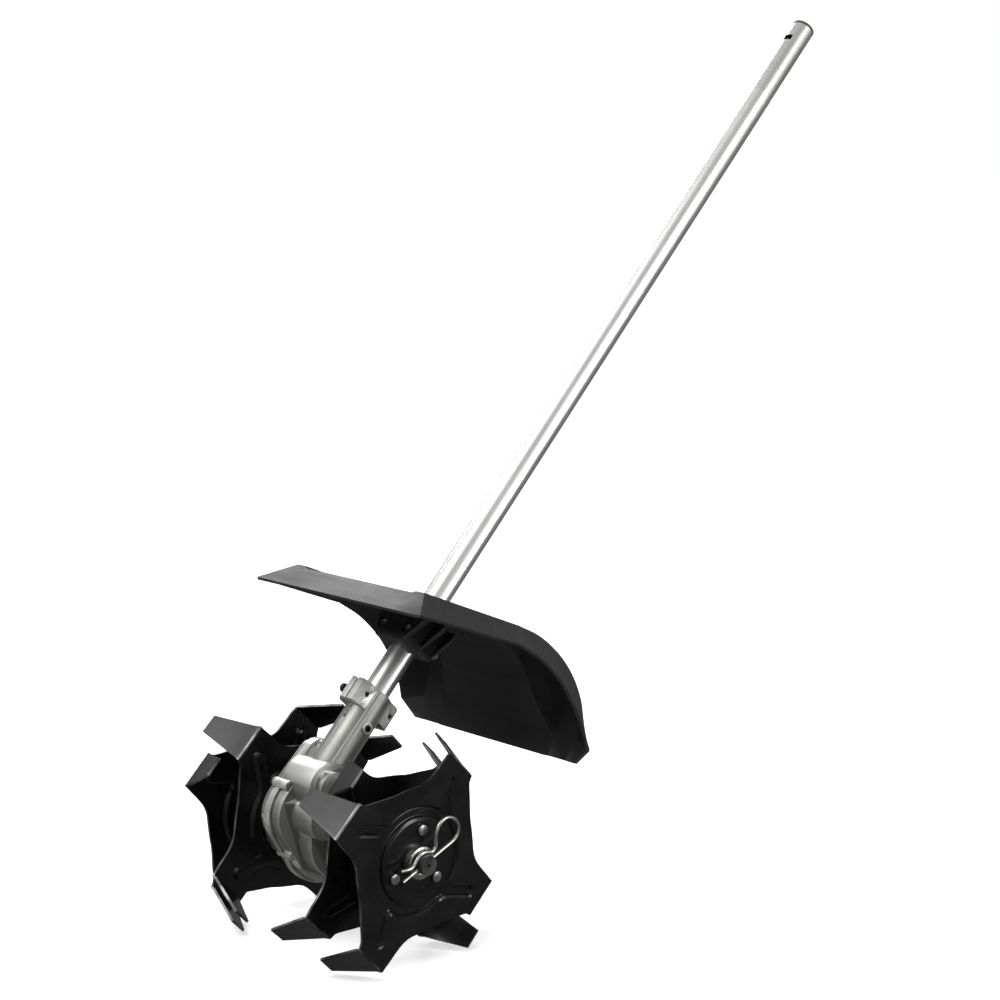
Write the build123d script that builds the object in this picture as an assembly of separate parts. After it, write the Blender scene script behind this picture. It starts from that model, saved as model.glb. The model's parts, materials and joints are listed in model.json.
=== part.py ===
from build123d import *
import os
from math import acos, atan2, cos, degrees, hypot, pi, radians, sin, sqrt, tan

os.makedirs("parts", exist_ok=True)

# Tiller attachment for a split-boom power head, in millimetres.
# Everything is drawn in a boom frame: +Z runs up the boom tube's axis, +X along the tine axle
# and +Y towards the operator, with z = 0 at the height of the axle.  export_part() then leans
# the whole tool back to its working pose and puts the origin at the top end of the boom.

# ---- working pose -----------------------------------------------------------------------
LEAN = 44.5                      # boom leans back from vertical, degrees
BOOM_TOP = 1006.2                # top face of the boom's end bush above the axle

# ---- boom and drive shaft ---------------------------------------------------------------
TUBE_R = 12.7
TUBE_WALL = 1.5
GRIP_R = 12.5                    # the top stretch is sized to slide into the power head's clamp
GRIP_LONG = 100.0
TUBE_BOTTOM = 71.0
BUSH_RIM = 3.0                   # rim of the end bush that caps the tube
TUBE_TOP = BOOM_TOP - BUSH_RIM
LATCH_BELOW_TOP = 22.2           # centre of the latch hole below the tube's top edge
LATCH_WIDE = 10.0
LATCH_LONG = 7.0
SHAFT_R = 4.0
SHAFT_SQUARE = 5.4
FIT = 0.05                       # running clearance on radius

# ---- gear train -------------------------------------------------------------------------
AXLE_Y = 53.6                    # axle behind the boom's axis
UPPER_Z = 21.0                   # cross shaft on the boom's axis
PRESSURE = radians(20.0)
BEVEL_MODULE = 1.4
BEVEL_PINION = 10
BEVEL_GEAR = 20
FIRST_MODULE = 1.25
FIRST_PINION = 10
FIRST_GEAR = 38
LAST_MODULE = 1.5
LAST_PINION = 11
LAST_GEAR = 40

first_centres = FIRST_MODULE * (FIRST_PINION + FIRST_GEAR) / 2
last_centres = LAST_MODULE * (LAST_PINION + LAST_GEAR) / 2

# the middle shaft sits where both centre distances are met, on the front side of the axle
span = hypot(AXLE_Y, UPPER_Z)
along = (first_centres ** 2 - last_centres ** 2 + span ** 2) / (2 * span)
aside = sqrt(first_centres ** 2 - along ** 2)
MIDDLE_Y = along * AXLE_Y / span - aside * UPPER_Z / span
MIDDLE_Z = UPPER_Z - along * UPPER_Z / span - aside * AXLE_Y / span

# ---- gearcase ---------------------------------------------------------------------------
SEAM_X = -22.0                   # joint face between housing and cover
FLANGE = 4.0
NECK_R = 17.3
NECK_TOP = 99.0
BLOCK_TOP = 122.0
BLOCK_X = 14.0
BLOCK_Y = 28.0
SLIT = 2.0
CLAMP_SCREW_Y = 19.0
CLAMP_SCREW_Z = 111.0
SET_SCREW_Z = 86.0
CASE_END = 46.0                  # end of the axle bosses

# ---- tines ------------------------------------------------------------------------------
AXLE_R = 9.0
AXLE_END = 127.0
CLIP_X = 121.0
HUB_R = 15.0
HUB_IN = 48.0
HUB_OUT = 117.5
FLANGE_R = 37.0
INNER_X = 67.4                   # mid-planes of the tine plates
OUTER_X = 109.4
PLATE = 2.5
ARMS = 4
CORNER_A = (101.1, 21.7)         # radius and angle past corner B of the wide bend corner
CORNER_B = 93.3
TIP_A = (116.6, 12.9)            # radius and angle past corner B of the tip's end corners
TIP_B = (114.3, 3.7)
TIP_REACH = 42.8                 # how far the tips stand out of the plate
# angle of corner B of the first arm, from +Y towards +Z
PHASES = {"outer_right": 178.5, "outer_left": 179.3, "inner_right": 179.6, "inner_left": 177.0}
RIVET_RADIUS = 29.0
RIVET_PHASE = 3.5

# ---- guard ------------------------------------------------------------------------------
SHEET = 3.0
ZONE_X = 76.0                    # half width of the sunken middle panel
CLAMP_Z = 185.0                  # height of the two screws that close the guard's clamp
FRONT_LIP = (111.0, -108.0, 159.0)
REAR_LIP = (115.0, 162.0, 175.0)
# from front to back: crest half width, y, z; lip half width, y, z; sunken panel y, z
GUARD_ROWS = [
    (91.0, -91.5, 190.0, 113.0, -100.0, 163.5, -91.5, 188.0),
    (97.0, -67.0, 203.0, 118.0, -78.0, 176.0, -67.0, 191.0),
    (103.0, -44.0, 212.5, 123.0, -54.0, 188.0, -44.0, 197.5),
    (107.0, -18.0, 222.0, 127.0, -26.0, 200.0, -18.0, 208.0),
    (109.0, 10.0, 229.5, 130.0, 4.0, 208.5, 10.0, 217.5),
    (109.0, 41.0, 235.0, 131.0, 38.0, 213.0, 41.0, 225.0),
    (109.0, 77.0, 237.0, 131.5, 73.0, 212.0, 83.0, 226.5),
    (109.0, 109.0, 232.5, 132.0, 104.0, 205.0, 107.0, 216.0),
    (109.0, 137.0, 220.0, 133.0, 130.0, 195.5, 129.0, 204.5),
    (109.0, 153.0, 197.0, 134.5, 148.0, 186.0, 150.0, 194.0),
]

# ---- placing and small shape helpers ------------------------------------------------------
lean = radians(LEAN)
WORKING_POSE = Pos(0, -BOOM_TOP * sin(lean), -BOOM_TOP * cos(lean)) * Rot(-LEAN, 0, 0)


def export_part(shape, name):
    export_step(WORKING_POSE * shape, "parts/" + name + ".step")


def rod_x(radius, x0, x1, y=0.0, z=0.0):
    """Cylinder along X."""
    return Pos((x0 + x1) / 2, y, z) * Rot(0, 90, 0) * Cylinder(radius, abs(x1 - x0))


def rod_z(radius, z0, z1, x=0.0, y=0.0):
    """Cylinder along Z."""
    return Pos(x, y, (z0 + z1) / 2) * Cylinder(radius, z1 - z0)


def ring_x(outer, inner, x0, x1, y=0.0, z=0.0):
    return rod_x(outer, x0, x1, y, z) - rod_x(inner, min(x0, x1) - 1, max(x0, x1) + 1, y, z)


def ring_z(outer, inner, z0, z1):
    return rod_z(outer, z0, z1) - rod_z(inner, z0 - 1, z1 + 1)


def prism_x(points, x0, x1):
    """Polygon of (y, z) points pushed along X."""
    face = Plane.YZ.offset(x0) * make_face(Polyline(*points, close=True))
    return extrude(face, x1 - x0)


def wrapped_x(circles, x0, x1):
    """Belt outline round circles (y, z, radius), pushed along X."""
    edges = [(Pos(y, z) * Circle(r)).edge() for y, z, r in circles]
    return extrude(Plane.YZ.offset(x0) * make_hull(edges), x1 - x0)


def triangle_solid(points, triangles):
    """Solid from a closed set of flat triangles."""
    faces = []
    for a, b, c in triangles:
        faces.append(Face(Wire.make_polygon([points[a], points[b], points[c]], close=True)))
    return Solid(Shell(faces))


def gear_outline(teeth, module, phase, add=0.8, ded=1.2, thin=0.2):
    """Corner points of an involute spur gear, one tooth centred on the phase angle (degrees)."""
    pitch = teeth * module / 2
    base = pitch * cos(PRESSURE)
    tip = pitch + add * module
    root = pitch - ded * module
    half_pitch = pi / (2 * teeth) - thin / (2 * pitch)
    involute = tan(PRESSURE) - PRESSURE

    def half(radius):
        angle = acos(min(1.0, base / radius))
        return half_pitch + involute - (tan(angle) - angle)

    low = max(base, root)
    radii = [low + (tip - low) * i / 4 for i in range(5)]
    points = []
    for tooth in range(teeth):
        mid = radians(phase) + 2 * pi * tooth / teeth
        if root < low:
            points.append((root, mid - half(low)))
        for r in radii:
            points.append((r, mid - half(r)))
        for r in reversed(radii):
            points.append((r, mid + half(r)))
        if root < low:
            points.append((root, mid + half(low)))
    return [(r * cos(a), r * sin(a)) for r, a in points]


def spur_x(teeth, module, phase, x0, x1, y, z):
    points = [(y + u, z + v) for u, v in gear_outline(teeth, module, phase)]
    return prism_x(points, x0, x1)


def bevel_blank(teeth, phase, add, ded, far, near, distance):
    """Straight bevel teeth between two planes, drawn towards the apex at the origin."""
    outline = gear_outline(teeth, BEVEL_MODULE, phase, add, ded, 0.4)
    big = Wire.make_polygon([(u, v, distance) for u, v in outline], close=True)
    k = near / far
    small = Wire.make_polygon([(u * k, v * k, distance * k) for u, v in outline], close=True)
    return Solid.make_loft([small, big], True)


# ---- boom --------------------------------------------------------------------------------
tube = rod_z(TUBE_R, TUBE_BOTTOM, TUBE_TOP - GRIP_LONG) + rod_z(GRIP_R, TUBE_TOP - GRIP_LONG, TUBE_TOP)
tube -= rod_z(TUBE_R - TUBE_WALL, TUBE_BOTTOM - 1, TUBE_TOP + 1)
tube -= Pos(0, -TUBE_R, TUBE_TOP - LATCH_BELOW_TOP) * Box(LATCH_WIDE, 8, LATCH_LONG)
tube -= Pos(TUBE_R, 0, SET_SCREW_Z) * Rot(0, 90, 0) * Cylinder(2.6, 8)
export_part(tube, "boom_tube")

end_bush = rod_z(GRIP_R, TUBE_TOP, BOOM_TOP) + rod_z(TUBE_R - TUBE_WALL, TUBE_TOP - 11, TUBE_TOP)
end_bush -= rod_z(SHAFT_R + FIT, TUBE_TOP - 20, BOOM_TOP + 1)
end_bush -= rod_z(8.0, BOOM_TOP - 4.0, BOOM_TOP + 1)
export_part(end_bush, "boom_end_bush")

for name, height in (("shaft_bush_upper", 760.0), ("shaft_bush_middle", 480.0), ("shaft_bush_lower", 200.0)):
    bush = ring_z(TUBE_R - TUBE_WALL, SHAFT_R + FIT, height - 9, height + 9)
    bush -= ring_z(TUBE_R, TUBE_R - TUBE_WALL - 0.8, height - 4, height + 4)
    export_part(bush, name)

drive = rod_z(SHAFT_R, 84, BOOM_TOP - 14)
drive += Pos(0, 0, (67 + 84) / 2) * Box(SHAFT_SQUARE, SHAFT_SQUARE, 17)
drive += Pos(0, 0, BOOM_TOP - 8) * Box(SHAFT_SQUARE, SHAFT_SQUARE, 12)
export_part(drive, "drive_shaft")

# ---- bevel pair --------------------------------------------------------------------------
bevel_r = BEVEL_MODULE * BEVEL_PINION / 2
bevel_big = BEVEL_MODULE * BEVEL_GEAR / 2
cone_far = hypot(bevel_r, bevel_big)
cone_near = cone_far * 0.56

pinion = bevel_blank(BEVEL_PINION, 0, 0.7, 0.95, cone_far, cone_near, bevel_big)
pinion = Pos(0, 0, UPPER_Z) * pinion
pinion += rod_z(5.8, UPPER_Z + bevel_big, 41)
pinion += rod_z(4.0, 41, 66)
pinion += rod_z(7.0, 63.5, 84)
pinion -= Pos(0, 0, 76) * Box(SHAFT_SQUARE + 0.1, SHAFT_SQUARE + 0.1, 18)
export_part(pinion, "bevel_pinion")
export_part(ring_z(11.0, 4.0 + FIT, 42, 49), "pinion_bearing_lower")
export_part(ring_z(11.0, 4.0 + FIT, 56, 63), "pinion_bearing_upper")

# a gap of the crown faces the pinion: its teeth are drawn about Z, then turned onto +X
crown = bevel_blank(BEVEL_GEAR, 180.0 / BEVEL_GEAR, 0.7, 1.65, cone_far, cone_near, bevel_r)
crown = Rot(0, 90, 0) * crown
crown += rod_x(12.0, bevel_r, bevel_r + 3)
crown += rod_x(8.0, bevel_r + 3, 14)
crown -= rod_x(4.5, 0, 20)
export_part(Pos(0, 0, UPPER_Z) * crown, "bevel_gear")

# ---- cross shafts ------------------------------------------------------------------------
to_middle = degrees(atan2(MIDDLE_Z - UPPER_Z, MIDDLE_Y))
upper_shaft = spur_x(FIRST_PINION, FIRST_MODULE, to_middle, -21, -11, 0, UPPER_Z)
upper_shaft += rod_x(4.5, -11, 14.5, 0, UPPER_Z)
upper_shaft += rod_x(4.0, -31, 22, 0, UPPER_Z)
export_part(upper_shaft, "upper_shaft")
export_part(ring_x(11.0, 4.0 + FIT, 15, 22, 0, UPPER_Z), "upper_bearing_right")
export_part(ring_x(9.5, 4.0 + FIT, -31, -25, 0, UPPER_Z), "upper_bearing_left")

gap = to_middle + 180.0 + 180.0 / FIRST_GEAR
middle_gear = spur_x(FIRST_GEAR, FIRST_MODULE, gap, -20.5, -11.5, MIDDLE_Y, MIDDLE_Z)
middle_gear -= rod_x(6.0, -30, 0, MIDDLE_Y, MIDDLE_Z)
export_part(middle_gear, "middle_gear")

to_axle = degrees(atan2(-MIDDLE_Z, AXLE_Y - MIDDLE_Y))
middle_shaft = spur_x(LAST_PINION, LAST_MODULE, to_axle, -8.5, 7, MIDDLE_Y, MIDDLE_Z)
middle_shaft += rod_x(6.0, -24, -8.5, MIDDLE_Y, MIDDLE_Z)
middle_shaft += rod_x(5.0, -31, 16, MIDDLE_Y, MIDDLE_Z)
export_part(middle_shaft, "middle_shaft")
export_part(ring_x(12.0, 5.0 + FIT, 9, 17, MIDDLE_Y, MIDDLE_Z), "middle_bearing_right")
export_part(ring_x(12.0, 5.0 + FIT, -31, -25, MIDDLE_Y, MIDDLE_Z), "middle_bearing_left")

gap = to_axle + 180.0 + 180.0 / LAST_GEAR
output_gear = spur_x(LAST_GEAR, LAST_MODULE, gap, -7, 5, AXLE_Y, 0)
output_gear -= rod_x(10.5, -20, 20, AXLE_Y, 0)
export_part(output_gear, "output_gear")

# ---- gearcase ----------------------------------------------------------------------------
SCREW_SPOTS = [(-19.0, 3.5), (-7.0, 55.0), (31.0, -41.5), (99.0, -29.0), (104.0, 20.0), (60.0, 49.0)]


def seam_outline(x0, x1, grow):
    plate = wrapped_x([(MIDDLE_Y, MIDDLE_Z, 32.5 + grow), (AXLE_Y + 3, 0, 47.5 + grow)], x0, x1)
    plate += wrapped_x([(MIDDLE_Y, MIDDLE_Z, 32.5 + grow), (0, UPPER_Z, 16 + grow), (0, 46, 14 + grow)], x0, x1)
    return plate


housing = seam_outline(SEAM_X, SEAM_X + FLANGE, 3.0)
housing += seam_outline(SEAM_X, -7, 0)
for y, z in SCREW_SPOTS:
    housing += rod_x(5.0, SEAM_X, -8, y, z)
housing += rod_x(23.2, SEAM_X, 17.6, 0, UPPER_Z)
housing += rod_x(15.0, 17.6, 24.0, 0, UPPER_Z)
housing += rod_x(18.5, -7, 22, MIDDLE_Y, MIDDLE_Z)
housing += rod_x(41.0, -7, 12, AXLE_Y, 0)
housing += rod_x(23.0, 12, CASE_END, AXLE_Y, 0)
housing += rod_z(NECK_R, 30, NECK_TOP + 1)
block = [(-BLOCK_Y, -8), (-BLOCK_Y, 8), (-BLOCK_Y + 8, BLOCK_X), (BLOCK_Y - 8, BLOCK_X), (BLOCK_Y, 8),
         (BLOCK_Y, -8), (BLOCK_Y - 9, -BLOCK_X - 3), (-BLOCK_Y + 9, -BLOCK_X - 3)]
block_face = make_face(Polyline(*[(x, y) for y, x in block], close=True))
housing += extrude(Pos(0, 0, NECK_TOP) * block_face, BLOCK_TOP - NECK_TOP)
housing += rod_z(NECK_R, NECK_TOP, BLOCK_TOP)
# hollow for the gears
housing -= rod_x(19.5, SEAM_X - 1, 13, 0, UPPER_Z)
housing -= wrapped_x([(MIDDLE_Y, MIDDLE_Z, 28.0), (0, UPPER_Z, 10.0)], SEAM_X - 1, -10)
housing -= rod_x(11.5, -12, 8, MIDDLE_Y, MIDDLE_Z)
housing -= rod_x(35.0, SEAM_X - 1, 7, AXLE_Y, 0)
# seats and bores
housing -= rod_x(11.0, 12, 22, 0, UPPER_Z)
housing -= rod_x(12.0, 7, 17, MIDDLE_Y, MIDDLE_Z)
housing -= rod_x(6.5, 16, 19, MIDDLE_Y, MIDDLE_Z)
housing -= rod_x(12.0, 0, 30, AXLE_Y, 0)
housing -= rod_x(17.5, 28, CASE_END + 1, AXLE_Y, 0)
housing -= rod_z(9.5, 30, 43)
housing -= rod_z(11.0, 42, 70)
housing -= rod_z(9.6, 62, 72)
housing -= rod_z(TUBE_R + 0.02, TUBE_BOTTOM - 0.5, BLOCK_TOP + 1)
# clamp slits and screw holes
for side in (-1, 1):
    housing -= Pos(0, side * 24, 105) * Box(SLIT, 26, 40)
    housing -= Pos(0, side * 24, 86) * Rot(90, 0, 0) * Cylinder(1.8, 26)
    housing -= rod_x(2.6, -20, 20, side * CLAMP_SCREW_Y, CLAMP_SCREW_Z)
housing += rod_x(5.6, 14, 18.6, 0, SET_SCREW_Z)
housing -= rod_z(TUBE_R + 0.02, TUBE_BOTTOM, BLOCK_TOP + 1)
housing -= rod_x(3.4, 10, 30, 0, SET_SCREW_Z)
for y, z in SCREW_SPOTS:
    housing -= rod_x(2.1, SEAM_X - 1, -11, y, z)
export_part(housing, "gearcase_housing")

cover = seam_outline(SEAM_X - 4, SEAM_X, 3.0)
cover += seam_outline(-33, SEAM_X, 0)
for y, z in SCREW_SPOTS:
    cover += rod_x(5.0, -28, SEAM_X, y, z)
cover += rod_x(13.5, -35, SEAM_X, 0, UPPER_Z)
cover += rod_x(16.0, -36, SEAM_X, MIDDLE_Y, MIDDLE_Z)
cover += rod_x(23.0, -CASE_END, SEAM_X, AXLE_Y, 0)
cover -= rod_x(9.5, -31.2, SEAM_X + 1, 0, UPPER_Z)
cover -= rod_x(12.0, -31.2, SEAM_X + 1, MIDDLE_Y, MIDDLE_Z)
cover -= rod_x(12.0, -30, SEAM_X + 1, AXLE_Y, 0)
cover -= rod_x(17.5, -CASE_END - 1, -28, AXLE_Y, 0)
for y, z in SCREW_SPOTS:
    cover -= rod_x(2.5, -40, -20, y, z)
    cover -= rod_x(4.4, -40, -28, y, z)
export_part(cover, "gearcase_cover")

screws = []
for y, z in SCREW_SPOTS:
    screw = rod_x(2.1, -28, -12, y, z) + rod_x(4.0, -32, -28, y, z)
    screw -= Pos(-32, y, z) * Rot(0, 90, 0) * extrude(RegularPolygon(2.0, 6), 2.2)
    screws.append(screw)
export_part(Compound(children=screws), "cover_screws")

screws = []
for side in (-1, 1):
    y = side * CLAMP_SCREW_Y
    screw = rod_x(2.6, -17, 11, y, CLAMP_SCREW_Z) + rod_x(4.4, -21, -17, y, CLAMP_SCREW_Z)
    screw -= Pos(-21, y, CLAMP_SCREW_Z) * Rot(0, 90, 0) * extrude(RegularPolygon(2.2, 6), 2.5)
    screws.append(screw)
export_part(Compound(children=screws), "neck_clamp_screws")

set_screw = rod_x(2.5, 11.6, 13.0, 0, SET_SCREW_Z) + rod_x(3.4, 13.0, 19.2, 0, SET_SCREW_Z)
set_screw -= Pos(15.5, 0, SET_SCREW_Z) * Rot(0, 90, 0) * extrude(RegularPolygon(2.3, 6), 5)
export_part(set_screw, "neck_set_screw")

# ---- axle --------------------------------------------------------------------------------
axle = rod_x(AXLE_R, -AXLE_END, AXLE_END, AXLE_Y, 0) + rod_x(10.5, -9, 7, AXLE_Y, 0)
leg = radians(66.5)              # direction of the clip's straight leg in the plane across the axle
for side in (-1, 1):
    hole = Rot(degrees(leg) - 90, 0, 0) * Cylinder(1.9, 40)
    axle -= Pos(side * CLIP_X, AXLE_Y, 0) * hole
    axle -= rod_x(1.5, side * AXLE_END, side * (AXLE_END - 4), AXLE_Y, 0)
export_part(axle, "tine_axle")
for name, side in (("right", 1), ("left", -1)):
    export_part(ring_x(17.5, AXLE_R + FIT, side * 28.5, side * 38, AXLE_Y, 0), "axle_bearing_" + name)
    export_part(ring_x(17.5, AXLE_R + FIT, side * 39, side * 45.5, AXLE_Y, 0), "axle_seal_" + name)

# ---- tines -------------------------------------------------------------------------------
# outline between corner B of one arm and corner A of the next: radius, angle past B (degrees)
NOTCH = [(87.0, 1.8), (77.0, 11.5), (70.5, 22.0), (68.5, 33.0), (68.5, 43.0), (70.0, 51.0), (75.0, 57.5),
         (83.0, 62.0), (94.0, 66.0)]


def polar(radius, angle):
    return (radius * cos(radians(angle)), radius * sin(radians(angle)))


def tine_plate(x_mid, phase, turn, tips_in):
    """Four-armed plate; turn is the way the arms step round, tips_in tells which tips bend inward."""
    outline = []
    for arm in range(ARMS):
        start = phase - turn * arm * 90.0
        outline.append(polar(CORNER_A[0], start + turn * CORNER_A[1]))
        outline.append(polar(CORNER_B, start))
        for radius, angle in NOTCH:
            outline.append(polar(radius, start - turn * angle))
    plate = prism_x([(AXLE_Y + u, v) for u, v in outline], x_mid - PLATE / 2, x_mid + PLATE / 2)
    side = 1 if x_mid > 0 else -1
    for arm in range(ARMS):
        start = phase - turn * arm * 90.0
        way = -side if tips_in[arm] else side
        root_x = x_mid - way * PLATE / 2
        tip_x = x_mid + way * TIP_REACH
        a = Vector(root_x, *polar(CORNER_A[0], start + turn * CORNER_A[1]))
        b = Vector(root_x, *polar(CORNER_B, start))
        c = Vector(tip_x, *polar(TIP_A[0], start + turn * TIP_A[1]))
        d = Vector(tip_x, *polar(TIP_B[0], start + turn * TIP_B[1]))
        normal = (b - a).cross((c + d) * 0.5 - a).normalized()
        c = c - normal * (c - a).dot(normal)
        d = d - normal * (d - a).dot(normal)
        middle = (a + b) * 0.5
        if normal.dot(Vector(0, middle.Y, middle.Z)) > 0:
            normal = normal * -1
        quad = [Vector(0, AXLE_Y, 0) + v for v in (a, b, d, c)]
        face = Face(Wire.make_polygon(quad, close=True))
        push = normal if face.normal_at().dot(normal) > 0 else normal
        plate += extrude(face, amount=PLATE, dir=push)
    return plate


for name, side in (("right", 1), ("left", -1)):
    outer = tine_plate(side * OUTER_X, PHASES["outer_" + name], 1, [True] * 4)
    inner = tine_plate(side * INNER_X, PHASES["inner_" + name], -1, [False, True, False, True])
    for label, plate, x in (("outer", outer, OUTER_X), ("inner", inner, INNER_X)):
        plate -= rod_x(HUB_R, side * (x - 9), side * (x + 9), AXLE_Y, 0)
        rivets = []
        for i in range(3):
            u, v = polar(RIVET_RADIUS, RIVET_PHASE + 120 * i)
            plate -= rod_x(3.0, side * (x - 9), side * (x + 9), AXLE_Y + u, v)
            out = side * (x + PLATE / 2)
            back = side * (x - PLATE / 2 - 3.5)
            rivet = rod_x(3.0, back, out, AXLE_Y + u, v)
            rivet += rod_x(5.0, out, out + side * 3.2, AXLE_Y + u, v)
            rivet += rod_x(5.0, back, back - side * 2.2, AXLE_Y + u, v)
            rivets.append(rivet)
        export_part(plate, "tine_" + label + "_" + name)
        export_part(Compound(children=rivets), "tine_rivets_" + label + "_" + name)
    hub = rod_x(HUB_R, side * HUB_IN, side * HUB_OUT, AXLE_Y, 0)
    for x in (INNER_X, OUTER_X):
        hub += rod_x(FLANGE_R, side * (x - PLATE / 2 - 3.5), side * (x - PLATE / 2), AXLE_Y, 0)
        for i in range(3):
            u, v = polar(RIVET_RADIUS, RIVET_PHASE + 120 * i)
            hub -= rod_x(3.0, side * (x - 9), side * (x + 2), AXLE_Y + u, v)
    hub -= rod_x(AXLE_R, side * 40, side * 125, AXLE_Y, 0)
    export_part(hub, "tine_hub_" + name)

# ---- retaining clips: u runs along the straight leg, v away from it ------------------------
WIRE_R = 1.65
CLIP_PATH = [(-28, 0), (-10, 0), (10, 0), (30, 0), (41, 1.2), (47.3, 7.5), (46.3, 17), (39.5, 23.8), (31.5, 24.5),
             (24.5, 20.5), (19.5, 13), (16, 6.6), (11.5, 5.6), (6.8, 8.6), (0, 10.9), (-7.0, 8.6), (-12.5, 6.0),
             (-18.5, 7.0), (-26, 10.8)]
for name, side in (("right", 1), ("left", -1)):
    path_points = []
    for u, v in CLIP_PATH:
        y = AXLE_Y + u * cos(leg) - v * sin(leg)
        z = u * sin(leg) + v * cos(leg)
        path_points.append((side * CLIP_X, y, z))
    path = Spline(*path_points)
    start = Plane(origin=path @ 0, z_dir=path % 0)
    export_part(sweep(start * Circle(WIRE_R), path=path), "axle_clip_" + name)

# ---- guard -------------------------------------------------------------------------------


def guard_grid():
    """Rows of skin points from front to back: each runs lip, crest, step, panel, step, crest, lip."""
    edge = ZONE_X + 2
    w, y, z = FRONT_LIP
    w0 = GUARD_ROWS[0][0]
    half = [(w, y, z), (w0, y, z), (edge, y, z), (edge - 4, y, z)]
    rows = [half]
    for wc, yc, zc, wl, yl, zl, ym, zm in GUARD_ROWS:
        rows.append([(wl, yl, zl), (wc, yc, zc), (edge, yc, zc), (edge - 4, ym, zm)])
    w, y, z = REAR_LIP
    rows.append([(w, y, z), (w - 14, y, z), (edge, y, z), (edge - 4, y, z)])
    return [[(-x, y, z) for x, y, z in row] + [(x, y, z) for x, y, z in reversed(row)] for row in rows]


def sheet_solid(rows, thick):
    """Closed solid from a grid of points: the given skin is the outside, the inside lies below it."""
    n = len(rows)
    m = len(rows[0])
    grid = [[Vector(*p) for p in row] for row in rows]
    cells = []
    for i in range(n - 1):
        for j in range(m - 1):
            a, b, c, d = (i, j), (i, j + 1), (i + 1, j + 1), (i + 1, j)
            if (i < n // 2) == (j < m // 2):
                cells += [(a, b, c), (a, c, d)]
            else:
                cells += [(a, b, d), (b, c, d)]
    normals = {}
    for cell in cells:
        p, q, r = [grid[i][j] for i, j in cell]
        normal = (q - p).cross(r - p)
        normal = normal.normalized()
        for key in cell:
            normals[key] = normals.get(key, Vector(0, 0, 0)) + normal
    index = {}
    points = []
    for layer in (0, 1):
        for i in range(n):
            for j in range(m):
                index[layer, i, j] = len(points)
                normal = normals[i, j].normalized()
                points.append(grid[i][j] - normal * (thick * layer))
    triangles = []
    for a, b, c in cells:
        triangles.append((index[(0,) + a], index[(0,) + b], index[(0,) + c]))
        triangles.append((index[(1,) + a], index[(1,) + c], index[(1,) + b]))
    rim = [(0, j) for j in range(m)] + [(i, m - 1) for i in range(1, n)]
    rim += [(n - 1, j) for j in range(m - 2, -1, -1)] + [(i, 0) for i in range(n - 2, 0, -1)]
    for k, p in enumerate(rim):
        q = rim[(k + 1) % len(rim)]
        triangles.append((index[(0,) + p], index[(1,) + p], index[(1,) + q]))
        triangles.append((index[(0,) + p], index[(1,) + q], index[(0,) + q]))
    return triangle_solid(points, triangles)


guard = sheet_solid(guard_grid(), SHEET)
guard -= rod_z(TUBE_R + 0.4, 150, 300)
# saddle that the boom lies in, widening up to the shell, with a loose rear half clamped to it
WEDGE = [(-18, 170), (18, 170), (35, 202), (35, 214), (-35, 214), (-35, 202)]
REAR_WEDGE = [(-18, 175), (18, 175), (33, 202), (33, 209), (-33, 209), (-33, 202)]


def wedge(points, y0, y1):
    """Outline of (x, z) points pushed along Y."""
    face = make_face(Polyline(*[(x, y0, z) for x, z in points], close=True))
    return extrude(face, amount=y1 - y0, dir=(0, 1, 0))


saddle = wedge(WEDGE, -25, -0.6)
guard += saddle
guard -= rod_z(TUBE_R, 150, 300)
for side in (-1, 1):
    guard -= Pos(side * 17.0, -13, CLAMP_Z) * Rot(90, 0, 0) * Cylinder(2.6, 60)
    guard -= Pos(side * 17.0, -24, CLAMP_Z) * Box(9.6, 7, 9.6)
export_part(guard, "guard")

clamp = wedge(REAR_WEDGE, 0.6, 19) - rod_z(TUBE_R, 150, 300)
for side in (-1, 1):
    clamp -= Pos(side * 17.0, 13, CLAMP_Z) * Rot(90, 0, 0) * Cylinder(2.6, 60)
export_part(clamp, "guard_clamp")
screws = []
nuts = []
for side in (-1, 1):
    spot = Pos(side * 17.0, 0, CLAMP_Z) * Rot(90, 0, 0)
    shank = Pos(0, -2, 0) * spot * Cylinder(2.5, 42)
    head = Pos(0, 21, 0) * spot * Cylinder(4.5, 4)
    screws.append(shank + head)
    nut = Pos(0, -20.6, 0) * spot * extrude(RegularPolygon(4.0, 6, major_radius=False), 3.6)
    nuts.append(nut - spot * Cylinder(2.5, 80))
export_part(Compound(children=screws), "guard_screws")
export_part(Compound(children=nuts), "guard_nuts")
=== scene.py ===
"""Tiller attachment: boom, guard, gearcase and four digging discs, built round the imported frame."""

import json
import math

import bpy
from mathutils import Matrix, Vector


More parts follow.
